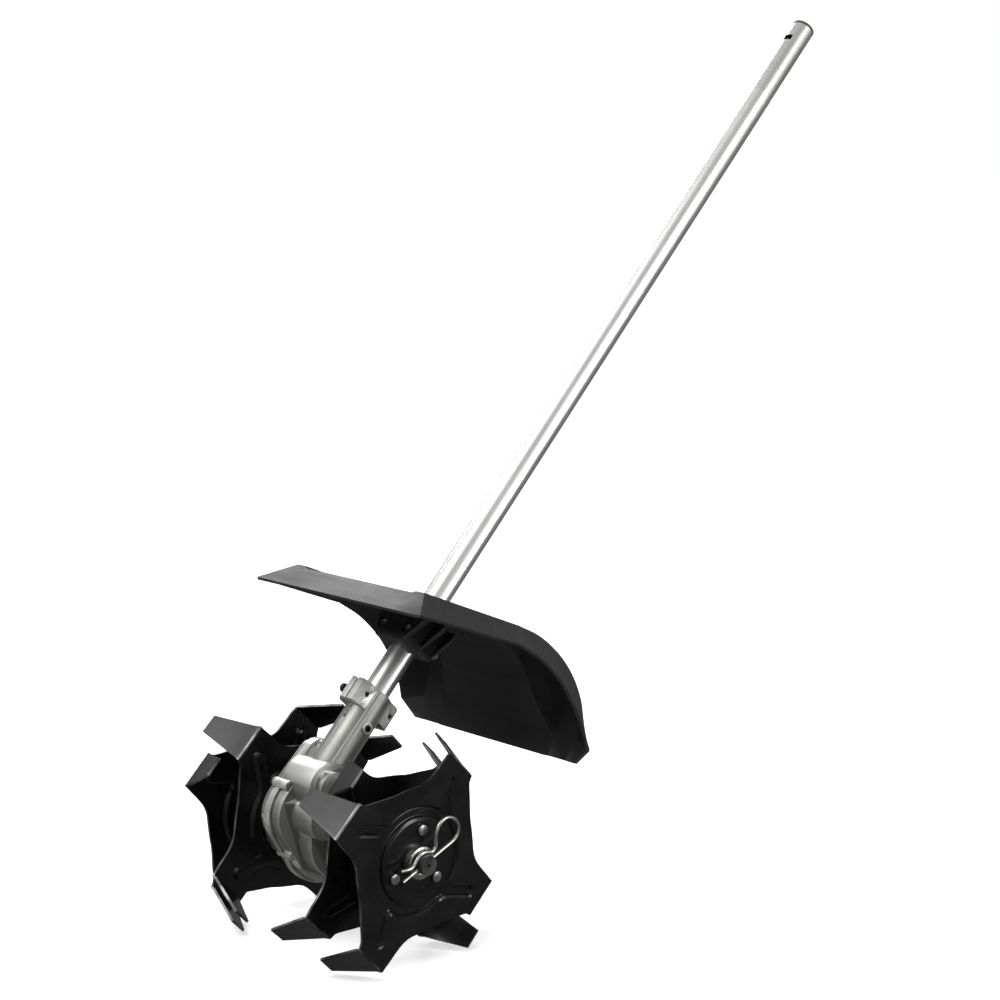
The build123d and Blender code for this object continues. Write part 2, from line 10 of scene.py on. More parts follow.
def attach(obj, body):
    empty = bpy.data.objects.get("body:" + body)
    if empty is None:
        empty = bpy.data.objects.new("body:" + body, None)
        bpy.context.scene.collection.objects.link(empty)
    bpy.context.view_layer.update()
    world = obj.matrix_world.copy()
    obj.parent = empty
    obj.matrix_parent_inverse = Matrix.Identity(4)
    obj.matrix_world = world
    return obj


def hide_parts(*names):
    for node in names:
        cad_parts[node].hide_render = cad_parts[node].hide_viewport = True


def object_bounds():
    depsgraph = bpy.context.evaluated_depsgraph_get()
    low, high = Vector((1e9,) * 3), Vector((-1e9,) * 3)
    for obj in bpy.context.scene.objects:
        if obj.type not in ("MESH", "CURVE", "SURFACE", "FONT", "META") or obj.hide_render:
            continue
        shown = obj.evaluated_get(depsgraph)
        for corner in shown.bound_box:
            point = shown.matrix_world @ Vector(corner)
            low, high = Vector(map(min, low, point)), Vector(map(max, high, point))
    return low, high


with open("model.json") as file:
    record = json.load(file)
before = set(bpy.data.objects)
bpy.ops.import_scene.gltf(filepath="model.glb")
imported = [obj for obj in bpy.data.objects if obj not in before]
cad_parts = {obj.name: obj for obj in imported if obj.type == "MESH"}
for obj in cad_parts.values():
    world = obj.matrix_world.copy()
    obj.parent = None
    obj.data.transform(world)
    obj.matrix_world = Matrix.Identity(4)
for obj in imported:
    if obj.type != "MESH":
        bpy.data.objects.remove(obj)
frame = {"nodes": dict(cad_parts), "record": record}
cad_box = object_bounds()

# ---- where things are, in metres --------------------------------------------------------
# The boom's own frame has its tube along Z, the tine axle level with z = 0 and +Y towards
# the operator. Pieces are modelled there and leaned back into the working pose at the end.
LEAN = math.radians(44.5)
BOOM_TOP = 1.0062
SIN, COS = math.sin(LEAN), math.cos(LEAN)
WORKING_POSE = Matrix.Translation((0, -BOOM_TOP * SIN, -BOOM_TOP * COS)) @ Matrix.Rotation(-LEAN, 4, "X")
AXLE_Y = 0.0536
PLATE = 0.0025


# ---- modelling helpers ------------------------------------------------------------------
def start_clean():
    if bpy.context.object and bpy.context.object.mode != "OBJECT":
        bpy.ops.object.mode_set(mode="OBJECT")
    bpy.ops.object.select_all(action="DESELECT")


def pick(piece):
    start_clean()
    piece.select_set(True)
    bpy.context.view_layer.objects.active = piece


def add(operator, name, **settings):
    """New primitive, its place taken into its mesh."""
    start_clean()
    operator(**settings)
    piece = bpy.context.object
    piece.name = name
    piece.data.name = name
    piece.data.transform(piece.matrix_world)
    piece.matrix_world = Matrix.Identity(4)
    return piece


def rod(name, radius, start, end, sides=96):
    """Cylinder between two points."""
    start, end = Vector(start), Vector(end)
    turn = (end - start).to_track_quat("Z", "Y").to_euler()
    return add(bpy.ops.mesh.primitive_cylinder_add, name, vertices=sides, radius=radius,
               depth=(end - start).length, location=(start + end) / 2, rotation=turn)


def cube(name, low, high):
    low, high = Vector(low), Vector(high)
    return add(bpy.ops.mesh.primitive_cube_add, name, size=1, location=(low + high) / 2, scale=high - low)


def cad_copy(node, name):
    """Copy of a CAD node's mesh with its loose triangles joined up, back in the boom's frame."""
    mesh = frame["nodes"][node].data.copy()
    piece = bpy.data.objects.new(name, mesh)
    mesh.name = name
    bpy.context.scene.collection.objects.link(piece)
    mesh.transform(WORKING_POSE.inverted())
    mesh.materials.clear()
    pick(piece)
    bpy.ops.object.mode_set(mode="EDIT")
    bpy.ops.mesh.select_all(action="SELECT")
    bpy.ops.mesh.remove_doubles(threshold=2e-6)
    bpy.ops.mesh.dissolve_limited(angle_limit=math.radians(0.6))
    bpy.ops.mesh.select_all(action="DESELECT")
    bpy.ops.object.mode_set(mode="OBJECT")
    if mesh.has_custom_normals:
        bpy.ops.mesh.customdata_custom_splitnormals_clear()
    return piece


def fix_normals(piece, merge=None):
    """Faces turned outwards, after doubles closer than merge are joined."""
    pick(piece)
    bpy.ops.object.mode_set(mode="EDIT")
    bpy.ops.mesh.select_all(action="SELECT")
    if merge:
        bpy.ops.mesh.remove_doubles(threshold=merge)
    bpy.ops.mesh.normals_make_consistent(inside=False)
    bpy.ops.object.mode_set(mode="OBJECT")


def modify(piece, kind, **settings):
    pick(piece)
    modifier = piece.modifiers.new(kind.title(), kind)
    for key, value in settings.items():
        setattr(modifier, key, value)
    bpy.ops.object.modifier_apply(modifier=modifier.name)


def smooth(piece, degrees=30):
    pick(piece)
    bpy.ops.object.shade_smooth_by_angle(angle=math.radians(degrees))


def join(pieces):
    pick(pieces[0])
    for piece in pieces[1:]:
        piece.select_set(True)
    bpy.ops.object.join()
    return pieces[0]


def fit(piece, body, slot, *nodes):
    """Lean the piece into place, ride it on its body and let it stand for its CAD nodes."""
    piece.data.transform(WORKING_POSE)
    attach(piece, body)
    if nodes:
        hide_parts(*nodes)


def dress(piece, *finishes):
    piece.data.materials.clear()
    for finish in finishes:
        piece.data.materials.append(finish)


# ---- finishes ---------------------------------------------------------------------------
class Finish:
    """Builds one material from its nodes."""

    def __init__(self, name, metallic, coat=0.0, coat_roughness=0.1, specular=0.5):
        self.material = bpy.data.materials.new(name)
        self.material.use_nodes = True
        self.tree = self.material.node_tree
        self.shader = self.tree.nodes["Principled BSDF"]
        self.shader.inputs["Metallic"].default_value = metallic
        self.shader.inputs["Coat Weight"].default_value = coat
        self.shader.inputs["Coat Roughness"].default_value = coat_roughness
        self.shader.inputs["Specular IOR Level"].default_value = specular
        self.coords = self.tree.nodes.new("ShaderNodeTexCoord").outputs["Object"]

    def node(self, kind, **values):
        made = self.tree.nodes.new(kind)
        for key, value in values.items():
            if key in made.inputs:
                made.inputs[key].default_value = value
            else:
                setattr(made, key, value)
        return made

    def link(self, a, b):
        self.tree.links.new(a, b)

    def along_boom(self, stretch):
        """Coordinates in the boom's frame, pressed together along it so a pattern runs with the tube."""
        mapping = self.node("ShaderNodeMapping")
        mapping.inputs["Rotation"].default_value = (LEAN, 0, 0)
        mapping.inputs["Scale"].default_value = (1, 1, stretch)
        self.link(self.coords, mapping.inputs["Vector"])
        return mapping.outputs["Vector"]

    def stretched(self, scale):
        mapping = self.node("ShaderNodeMapping")
        mapping.inputs["Scale"].default_value = scale
        self.link(self.coords, mapping.inputs["Vector"])
        return mapping.outputs["Vector"]

    def noise(self, scale, detail=4.0, roughness=0.6, vector=None):
        made = self.node("ShaderNodeTexNoise", Scale=scale, Detail=detail, Roughness=roughness)
        self.link(vector or self.coords, made.inputs["Vector"])
        return made.outputs["Fac"]

    def ramp(self, factor, stops):
        made = self.node("ShaderNodeValToRGB")
        elements = made.color_ramp.elements
        while len(elements) < len(stops):
            elements.new(0.5)
        for element, (place, color) in zip(elements, stops):
            element.position = place
            element.color = (*color, 1)
        self.link(factor, made.inputs["Fac"])
        return made.outputs["Color"]

    def spread(self, factor, low, high, start=0.3, end=0.7):
        made = self.node("ShaderNodeMapRange")
        made.inputs["From Min"].default_value = start
        made.inputs["From Max"].default_value = end
        made.inputs["To Min"].default_value = low
        made.inputs["To Max"].default_value = high
        self.link(factor, made.inputs["Value"])
        return made.outputs["Result"]

    def mix(self, factor, a, b):
        made = self.node("ShaderNodeMix", data_type="RGBA")
        self.link(factor, made.inputs["Factor"])
        for socket, value in ((made.inputs[6], a), (made.inputs[7], b)):
            if hasattr(value, "links"):
                self.link(value, socket)
            else:
                socket.default_value = (*value, 1)
        return made.outputs[2]

    def math(self, operation, a, b):
        made = self.node("ShaderNodeMath", operation=operation)
        for socket, value in zip(made.inputs, (a, b)):
            if hasattr(value, "links"):
                self.link(value, socket)
            else:
                socket.default_value = value
        return made.outputs["Value"]

    def convex(self, start, end):
        """0 on flats and in corners, 1 on outer edges: the mask for a painted edge highlight, and in the
        casting also for rub polish.
        """
        geometry = self.node("ShaderNodeNewGeometry")
        return self.spread(geometry.outputs["Pointiness"], 0.0, 1.0, start, end)

    def color(self, value):
        self.link(value, self.shader.inputs["Base Color"])

    def roughness(self, value):
        self.link(value, self.shader.inputs["Roughness"])

    def bump(self, height, distance, strength=1.0):
        made = self.node("ShaderNodeBump")
        made.inputs["Distance"].default_value = distance
        made.inputs["Strength"].default_value = strength
        self.link(height, made.inputs["Height"])
        if self.shader.inputs["Normal"].links:
            self.link(self.shader.inputs["Normal"].links[0].from_socket, made.inputs["Normal"])
        self.link(made.outputs["Normal"], self.shader.inputs["Normal"])


def drawn_aluminium():
    """Silver anodised tube: fine lengthwise drawing lines, duller where it slides into its clamp."""
    f = Finish("Drawn_aluminium", 1.0)
    lines = f.noise(1600, detail=2, vector=f.along_boom(0.01))
    cloud = f.noise(18, detail=3)
    distance = f.node("ShaderNodeVectorMath", operation="DOT_PRODUCT")
    distance.inputs[1].default_value = (0, SIN, COS)
    f.link(f.coords, distance.inputs[0])
    grip = f.spread(distance.outputs["Value"], 0.0, 1.0, -0.1035, -0.1025)
    tube = f.ramp(lines, [(0.3, (0.74, 0.74, 0.73)), (0.7, (0.84, 0.84, 0.83))])
    f.color(f.mix(grip, tube, (0.62, 0.62, 0.60)))
    shine = f.math("ADD", f.spread(lines, 0.33, 0.38), f.spread(cloud, -0.02, 0.03))
    f.roughness(f.math("ADD", shine, f.math("MULTIPLY", grip, 0.06)))
    f.bump(lines, 0.00001, 0.3)
    return f.material


def cast_aluminium():
    """Blasted die casting: fine pebble grain, cloudy tone, faint flow marks, and a painted highlight along
    outer edges, which are also rubbed smoother.
    """
    f = Finish("Blasted_casting", 0.85)
    grain = f.noise(1400, detail=3)
    cloud = f.noise(38, detail=5)
    flow = f.noise(60, detail=2, vector=f.stretched((1, 0.25, 1)))
    tone = f.ramp(cloud, [(0.3, (0.22, 0.22, 0.21)), (0.7, (0.30, 0.30, 0.285))])
    # painted highlight: outer edges lightened in colour; the same mask lowers roughness for rub polish
    edge_polish_and_highlight = f.convex(0.508, 0.545)
    f.color(f.mix(edge_polish_and_highlight, tone, (0.78, 0.78, 0.76)))
    rough = f.math("ADD", f.spread(grain, 0.40, 0.52), f.spread(flow, -0.04, 0.04))
    f.roughness(f.math("SUBTRACT", rough, f.math("MULTIPLY", edge_polish_and_highlight, 0.14)))
    f.bump(flow, 0.00015, 0.2)
    f.bump(grain, 0.00008, 0.5)
    return f.material


def tine_paint():
    """Semi-gloss black paint over sheet steel, with orange peel and light rubbing."""
    f = Finish("Tine_paint", 0.0, coat=0.12, coat_roughness=0.10, specular=0.34)
    peel = f.noise(420, detail=2)
    cloud = f.noise(22, detail=5, roughness=0.65)
    rub = f.noise(260, detail=3, vector=f.stretched((1, 0.15, 0.6)))
    base = f.ramp(cloud, [(0.35, (0.0020, 0.0020, 0.0021)), (0.75, (0.0060, 0.0060, 0.0062))])
    marks = f.spread(rub, 0.0, 0.03, 0.62, 0.80)
    f.color(f.mix(marks, base, (0.12, 0.12, 0.125)))
    f.roughness(f.math("ADD", f.spread(cloud, 0.16, 0.26), f.math("MULTIPLY", marks, 1.4)))
    f.bump(peel, 0.00006, 0.5)
    return f.material


def bare_edge_highlight():
    """Bare steel colour on sheared rims and bend lines: paint worn thin at the sheared edges, and a painted
    highlight for the bright lines along rims and bends.
    """
    f = Finish("Sheared_edge_highlight", 1.0)
    lines = f.noise(45, detail=5)
    f.color(f.ramp(lines, [(0.40, (0.09, 0.09, 0.092)), (0.68, (0.42, 0.42, 0.42))]))
    f.roughness(f.spread(lines, 0.34, 0.5))
    f.bump(lines, 0.0001, 0.5)
    return f.material


def zinc_plate():
    """Bright zinc plate with a faint warm bloom."""
    f = Finish("Zinc_plate", 1.0)
    cloud = f.noise(120, detail=4)
    grain = f.noise(1500, detail=2)
    f.color(f.ramp(cloud, [(0.35, (0.40, 0.39, 0.37)), (0.7, (0.56, 0.56, 0.54))]))
    f.roughness(f.spread(cloud, 0.22, 0.36))
    f.bump(grain, 0.00005, 0.4)
    return f.material


def ground_steel():
    """Turned and ground shaft steel with a thin oil film."""
    f = Finish("Ground_steel", 1.0)
    rings = f.noise(1800, detail=2, vector=f.stretched((1, 0.05, 0.05)))
    cloud = f.noise(60, detail=3)
    f.color(f.ramp(cloud, [(0.3, (0.12, 0.12, 0.122)), (0.7, (0.20, 0.20, 0.202))]))
    f.roughness(f.spread(rings, 0.25, 0.42))
    f.bump(rings, 0.00005, 0.5)
    return f.material


def black_oxide():
    f = Finish("Black_oxide", 0.6)
    cloud = f.noise(150, detail=4)
    f.color(f.ramp(cloud, [(0.3, (0.012, 0.012, 0.014)), (0.7, (0.035, 0.035, 0.038))]))
    f.roughness(f.spread(cloud, 0.30, 0.45))
    f.bump(f.noise(1200, detail=2), 0.00006, 0.4)
    return f.material


def moulded_black():
    """Black moulded plastic with a fine spark-eroded grain, faint flow lines and a painted highlight
    lightening its outer edges.
    """
    f = Finish("Moulded_black", 0.0, specular=0.36)
    grain = f.noise(1100, detail=3, roughness=0.7)
    cloud = f.noise(14, detail=4)
    flow = f.noise(90, detail=3, vector=f.stretched((0.12, 1, 1)))
    black = f.ramp(cloud, [(0.3, (0.0045, 0.0045, 0.0046)), (0.75, (0.0085, 0.0085, 0.0086))])
    # painted highlight: outer edges lightened in colour
    f.color(f.mix(f.convex(0.52, 0.60), black, (0.035, 0.035, 0.036)))
    f.roughness(f.math("ADD", f.spread(cloud, 0.44, 0.56), f.spread(flow, -0.05, 0.05)))
    f.bump(flow, 0.0001, 0.25)
    f.bump(grain, 0.00014, 0.6)
    return f.material


def natural_nylon():
    f = Finish("Natural_nylon", 0.0)
    cloud = f.noise(90, detail=3)
    f.color(f.ramp(cloud, [(0.3, (0.62, 0.60, 0.54)), (0.7, (0.74, 0.72, 0.66))]))
    f.roughness(f.spread(cloud, 0.45, 0.6))
    f.bump(f.noise(900), 0.00006, 0.4)
    return f.material


def seal_rubber():
    f = Finish("Seal_rubber", 0.0, specular=0.3)
    cloud = f.noise(200, detail=3)
    f.color(f.ramp(cloud, [(0.3, (0.010, 0.010, 0.010)), (0.7, (0.022, 0.022, 0.022))]))
    f.roughness(f.spread(cloud, 0.6, 0.75))
    f.bump(f.noise(1300), 0.0001, 0.5)
    return f.material


FINISHES = {
    "boom_aluminium": drawn_aluminium(),
    "black_plastic": moulded_black(),
    "bush_plastic": natural_nylon(),
    "cast_aluminium": cast_aluminium(),
    "black_steel": black_oxide(),
    "zinc_steel": zinc_plate(),
    "shaft_steel": ground_steel(),
    "seal_rubber": seal_rubber(),
    "tine_paint": tine_paint(),
}
# bare steel as a painted highlight along disc rims and bend lines
EDGE = bare_edge_highlight()

for subpart in frame["record"]["subparts"]:
    node = frame["nodes"][subpart["node"]]
    node.data.materials.clear()
    node.data.materials.append(FINISHES[subpart["material_slot"]])

# ---- digging discs ----------------------------------------------------------------------
INNER_X, OUTER_X = 0.0674, 0.1094
HUB_R = 0.0152
RIM_STEPS = 480                  # points round a disc
RING_STEP = 0.00125
RINGS = [HUB_R + RING_STEP * k for k in range(1, 69)]
BLEND_R = 0.0565                 # rings inside this stay round, those outside take the outline
CORNER_A, CORNER_B = (0.1011, 21.7), 0.0933
TIP_A, TIP_B = (0.1166, 12.9), (0.1143, 3.7)
TIP_REACH = 0.0428
# edge of the plate between two arms: degrees before the next corner B, and radius (mm)
NOTCH = [(0, 93.3), (1.8, 87.0), (11.5, 77.0), (22.0, 70.5), (33.0, 68.5), (43.0, 68.5), (51.0, 70.0),
         (57.5, 75.0), (62.0, 83.0), (66.0, 94.0), (68.3, 101.1)]
PHASES = {"outer_right": 178.5, "outer_left": 179.3, "inner_right": 179.6, "inner_left": 177.0}
GROOVE_IN, GROOVE_OUT = 0.0395, 0.0502       # pressed ring groove
CHANNEL_HALF = 0.0047            # half width of the channel along each arm
CHANNEL_BLEND = 0.006            # how softly a channel runs into the ring
CHANNEL_START, CHANNEL_END = (0.0444, -5.3), (0.0775, 11.5)      # radius and angle past corner B
PRESS_DEPTH = 0.0035
WALL = 0.0025                    # run of the groove's sloping wall
BEND_SHARE, BEND_SINK = 0.09, 0.9            # how far out and how deep the rounded bend of a tip starts
EDGE_STEPS = round(CORNER_A[1] * RIM_STEPS / 360)        # steps along one bend line
ARROW_LINE = 0.0007
ARROW_SWEEP = 58
ARROW_STARTS = (150, 272)


def polar(radius, degrees):
    angle = math.radians(degrees)
    return radius * math.cos(angle), radius * math.sin(angle)


def spline(points, x):
    """Smooth curve through (x, y) points that never overshoots sharply."""
    for k in range(len(points) - 1):
        if points[k][0] <= x <= points[k + 1][0]:
            break
    (x0, y0), (x1, y1) = points[k], points[k + 1]
    before = points[k - 1] if k else (2 * x0 - x1, 2 * y0 - y1)
    after = points[k + 2] if k + 2 < len(points) else (2 * x1 - x0, 2 * y1 - y0)
    slope0 = (y1 - before[1]) / (x1 - before[0])
    slope1 = (after[1] - y0) / (after[0] - x0)
    t = (x - x0) / (x1 - x0)
    h = x1 - x0
    return ((2 * t**3 - 3 * t**2 + 1) * y0 + (t**3 - 2 * t**2 + t) * h * slope0
            + (-2 * t**3 + 3 * t**2) * y1 + (t**3 - t**2) * h * slope1)


def outline_radius(past_b):
    """Radius of the plate's edge at an angle past corner B, the way the arms step round."""
    a = past_b % 90
    if a <= CORNER_A[1]:
        # straight bend line from B to A
        bx, by = CORNER_B, 0.0
        ax, ay = polar(*CORNER_A)
        dx, dy = polar(1, a)
        cross = (ax - bx) * dy - (ay - by) * dx
        return ((ax - bx) * by - (ay - by) * bx) / cross
    return spline(NOTCH, 90 - a) * 0.001


def blend_min(a, b, soft):
    h = max(soft - abs(a - b), 0.0) / soft
    return min(a, b) - h * h * soft * 0.25


def press(u, v, channels):
    """How deep the groove is pressed at a place on the plate."""
    r = math.hypot(u, v)
    inside = r - GROOVE_OUT
    for (ax, ay), (bx, by) in channels:
        dx, dy = bx - ax, by - ay
        t = max(0.0, min(1.0, ((u - ax) * dx + (v - ay) * dy) / (dx * dx + dy * dy)))
        reach = math.hypot(u - ax - dx * t, v - ay - dy * t) - CHANNEL_HALF
        inside = blend_min(inside, reach, CHANNEL_BLEND)
    inside = max(inside, GROOVE_IN - r)
    t = max(0.0, min(1.0, 0.5 - inside / WALL))
    return PRESS_DEPTH * t * t * (3 - 2 * t)


def select_edges(piece, wanted):
    """Only the edges whose two ends are both wanted."""
    pick(piece)
    for polygon in piece.data.polygons:
        polygon.select = False
    for vertex in piece.data.vertices:
        vertex.select = False
    for edge in piece.data.edges:
        edge.select = all(i in wanted for i in edge.vertices)
        if edge.select:
            for i in edge.vertices:
                piece.data.vertices[i].select = True


def place_key(point):
    return tuple(round(c, 7) for c in point)


def flat_plate(name, x_mid):
    """Round plate of many rings, grown outwards from the hub hole."""
    piece = add(bpy.ops.mesh.primitive_circle_add, name, vertices=RIM_STEPS, radius=HUB_R,
                rotation=(math.pi / 2, 0, math.pi / 2), location=(x_mid, 0, 0))
    bpy.ops.object.mode_set(mode="EDIT")
    bpy.ops.mesh.select_all(action="SELECT")
    radius = HUB_R
    for ring in RINGS:
        bpy.ops.mesh.extrude_region_move()
        grow = ring / radius
        bpy.ops.transform.resize(value=(1, grow, grow), center_override=(x_mid, 0, 0))
        radius = ring
    bpy.ops.object.mode_set(mode="OBJECT")
    return piece


def shape_plate(piece, x_mid, side, phase, turn):
    """Rings take the outline, corners exactly on their points, and the groove is pressed in.

    Gives the points along the bend lines, each with its arm and its share of the way from B to A."""
    channels = [[polar(radius, phase + 90 * k + turn * past) for radius, past in (CHANNEL_START, CHANNEL_END)]
                for k in range(4)]
    step = 360 / RIM_STEPS
    arm_steps = RIM_STEPS // 4
    tips = {}
    for vertex in piece.data.vertices:
        u, v = vertex.co.y, vertex.co.z
        r = math.hypot(u, v)
        index = round(math.degrees(math.atan2(v, u)) / step) % RIM_STEPS
        arm, k = divmod(index, arm_steps)
        if k <= EDGE_STEPS:
            past = CORNER_A[1] * k / EDGE_STEPS
        else:
            past = CORNER_A[1] + (90 - CORNER_A[1]) * (k - EDGE_STEPS) / (arm_steps - EDGE_STEPS)
        edge = outline_radius(past)
        if r > BLEND_R:
            share = (r - BLEND_R) / (RINGS[-1] - BLEND_R)
            r = BLEND_R + (edge - BLEND_R) * share
        u, v = polar(r, phase + turn * (90 * arm + past))
        vertex.co = (x_mid - side * press(u, v, channels), AXLE_Y + u, v)
        if abs(r - edge) < 1e-7 and k <= EDGE_STEPS:
            tips[vertex.index] = (arm, k / EDGE_STEPS)
    return tips


def fold_tip(piece, shares, x_mid, start, turn, way):
    """The edge between corners B and A is drawn out and bent over towards way."""
    select_edges(piece, shares)
    a = Vector((x_mid, *polar(CORNER_A[0], start + turn * CORNER_A[1])))
    b = Vector((x_mid, *polar(CORNER_B, start)))
    c = Vector((x_mid + way * TIP_REACH, *polar(TIP_A[0], start + turn * TIP_A[1])))
    d = Vector((x_mid + way * TIP_REACH, *polar(TIP_B[0], start + turn * TIP_B[1])))
    normal = (b - a).cross((c + d) / 2 - a).normalized()
    c -= normal * (c - a).dot(normal)
    d -= normal * (d - a).dot(normal)
    middle = (a + b) / 2
    if normal.dot(Vector((0, middle.y, middle.z))) > 0:
        normal.negate()
    sink = normal * (PLATE / 2)
    axle = Vector((0, AXLE_Y, 0))
    known = {place_key(piece.data.vertices[i].co): t for i, t in shares.items()}
    for reach, depth in ((BEND_SHARE, BEND_SINK), (1.0, 1.0)):
        bpy.ops.object.mode_set(mode="EDIT")
        bpy.ops.mesh.select_mode(type="EDGE")
        bpy.ops.mesh.extrude_edges_move()
        bpy.ops.object.mode_set(mode="OBJECT")
        moved = [v for v in piece.data.vertices if v.select]
        places = [known[place_key(v.co)] for v in moved]
        for vertex, t in zip(moved, places):
            root, far = b.lerp(a, t), d.lerp(c, t)
            vertex.co = axle + root + (far - root) * reach + sink * depth
        known = {place_key(v.co): t for v, t in zip(moved, places)}


def disc(name, x_mid, phase, turn, tips_in):
    side = 1 if x_mid > 0 else -1
    piece = flat_plate(name, x_mid)
    tips = shape_plate(piece, x_mid, side, phase, turn)
    for arm in range(4):
        shares = {i: t for i, (n, t) in tips.items() if n == arm}
        way = -side if tips_in[arm] else side
        fold_tip(piece, shares, x_mid, phase + turn * 90 * arm, turn, way)
    # second slot: bare steel on rims and bend lines, a painted highlight
    dress(piece, FINISHES["tine_paint"], EDGE)
    # the bend lines are bevelled into the bare-steel slot as a painted highlight
    select_edges(piece, tips)
    bpy.ops.object.mode_set(mode="EDIT")
    bpy.ops.mesh.select_mode(type="EDGE")
    bpy.ops.mesh.bevel(offset=0.0007, segments=2, material=1)
    bpy.ops.object.mode_set(mode="OBJECT")
    modify(piece, "SOLIDIFY", thickness=PLATE, offset=0.0, use_even_offset=False, use_quality_normals=True,
           material_offset_rim=1)
    fix_normals(piece)
    smooth(piece, 32)
    return piece


def turning_arrow(name, x_face, start):
    """Thin raised outline of a curved arrow that shows which way the tines turn."""
    marks = []
    for radius, share in ((0.0272, 0.86), (0.0247, 0.80)):
        mark = add(bpy.ops.mesh.primitive_circle_add, name, vertices=6, radius=ARROW_LINE, fill_type="NGON",
                   location=(x_face, AXLE_Y + radius, 0))
        pick(mark)
        bpy.ops.object.mode_set(mode="EDIT")
        bpy.ops.mesh.select_all(action="SELECT")
        bpy.ops.mesh.spin(steps=14, angle=math.radians(ARROW_SWEEP * share),
                          center=(x_face, AXLE_Y, 0), axis=(1, 0, 0))
        bpy.ops.object.mode_set(mode="OBJECT")
        mark.data.transform(Matrix.Translation((0, AXLE_Y, 0)) @ Matrix.Rotation(math.radians(start), 4, "X")
                            @ Matrix.Translation((0, -AXLE_Y, 0)))
        marks.append(mark)
    tip = start + ARROW_SWEEP
    barbs = [(0.0290, start + ARROW_SWEEP * 0.80), (0.0259, tip), (0.0228, start + ARROW_SWEEP * 0.74)]
    for (ra, ta), (rb, tb) in zip(barbs, barbs[1:]):
        a = Vector((x_face, *polar(ra, ta))) + Vector((0, AXLE_Y, 0))
        b = Vector((x_face, *polar(rb, tb))) + Vector((0, AXLE_Y, 0))
        marks.append(rod(name, ARROW_LINE, a, b, 8))
    whole = join(marks)
    fix_normals(whole, merge=1e-6)
    smooth(whole, 40)
    return whole


for label, x, turn, tips_in in (("outer", OUTER_X, 1, [True] * 4),
                                ("inner", INNER_X, -1, [False, True, False, True])):
    for name, side in (("right", 1), ("left", -1)):
        key = label + "_" + name
        plate = disc("disc_" + key, side * x, PHASES[key], turn, tips_in)
        face = side * (x + PLATE / 2 + 0.0001)
        arrows = [turning_arrow("arrow", face, start) for start in ARROW_STARTS]
        for arrow in arrows:
            dress(arrow, FINISHES["tine_paint"])
        join([plate] + arrows)
        fit(plate, "tine_assembly", "tine_paint", "tine_" + key)

# ---- guard --------------------------------------------------------------------------------
SHEET = 0.003
# half width of the sunken panel, row by row (mm)
PANEL_HALF = (78, 78, 78, 76, 72, 66, 62.5, 63.5, 69, 78)
PANEL_STEP = 0.004
FRONT_LIP, REAR_LIP = (0.111, -0.108, 0.159), (0.115, 0.162, 0.175)
REAR_TURN = 0.014                # width of the turned-in rear lip
# from front to back: crest half width, y, z; lip half width, y, z; sunken panel y, z (mm)
GUARD_ROWS = [
    (91.0, -91.5, 190.0, 113.0, -100.0, 163.5, -91.5, 188.0),
    (97.0, -67.0, 203.0, 118.0, -78.0, 176.0, -67.0, 191.0),
    (103.0, -44.0, 212.5, 123.0, -54.0, 188.0, -44.0, 197.5),
    (107.0, -18.0, 222.0, 127.0, -26.0, 200.0, -18.0, 208.0),
    (109.0, 10.0, 229.5, 130.0, 4.0, 208.5, 10.0, 217.5),
    (109.0, 41.0, 238.5, 131.0, 38.0, 214.5, 41.0, 225.0),
    (109.0, 77.0, 240.5, 131.5, 73.0, 213.5, 83.0, 226.5),
    (109.0, 109.0, 234.5, 132.0, 104.0, 206.0, 107.0, 216.0),
    (109.0, 137.0, 220.0, 133.0, 130.0, 195.5, 129.0, 204.5),
    (109.0, 153.0, 197.0, 134.5, 148.0, 186.0, 150.0, 194.0),
]
GUARD_FILL = 8                   # skin rows for each given one
FRONT_FACET = 4                  # given row where the flat front facet meets the curved rear
CLAMP_Z = 0.185


def skin(column, row, track):
    """The crest and lip run straight along the flat front facet, and curve behind its crease."""
    if column < 6 and row < FRONT_FACET:
        return track[0][1] + (track[FRONT_FACET][1] - track[0][1]) * row / FRONT_FACET
    return spline(track[FRONT_FACET:], row) if column < 6 else spline(track, row)


def guard_rows():
    """Rows of skin points from the front lip to the rear lip; each runs from one side to the other."""
    w, y, z = FRONT_LIP
    panel = [(k, half / 1000) for k, half in enumerate(PANEL_HALF)]
    e = panel[0][1]
    halves = [[(w, y, z), (GUARD_ROWS[0][0] / 1000, y, z), (e, y, z), (e - PANEL_STEP, y, z), (0, y, z)]]
    steps = (len(GUARD_ROWS) - 1) * GUARD_FILL
    tracks = [[(k, row[c] / 1000) for k, row in enumerate(GUARD_ROWS)] for c in range(8)]
    for k in range(steps + 1):
        wc, yc, zc, wl, yl, zl, ym, zm = [skin(c, k / GUARD_FILL, track) for c, track in enumerate(tracks)]
        e = spline(panel, k / GUARD_FILL)
        halves.append([(wl, yl, zl), (wc, yc, zc), (e, yc, zc), (e - PANEL_STEP, ym, zm), (0, ym, zm)])
    w, y, z = REAR_LIP
    e = panel[-1][1]
    halves.append([(w, y, z), (w - REAR_TURN, y, z), (e, y, z), (e - PANEL_STEP, y, z), (0, y, z)])
    return [[(-x, y, z) for x, y, z in half[:-1]] + list(reversed(half)) for half in halves]


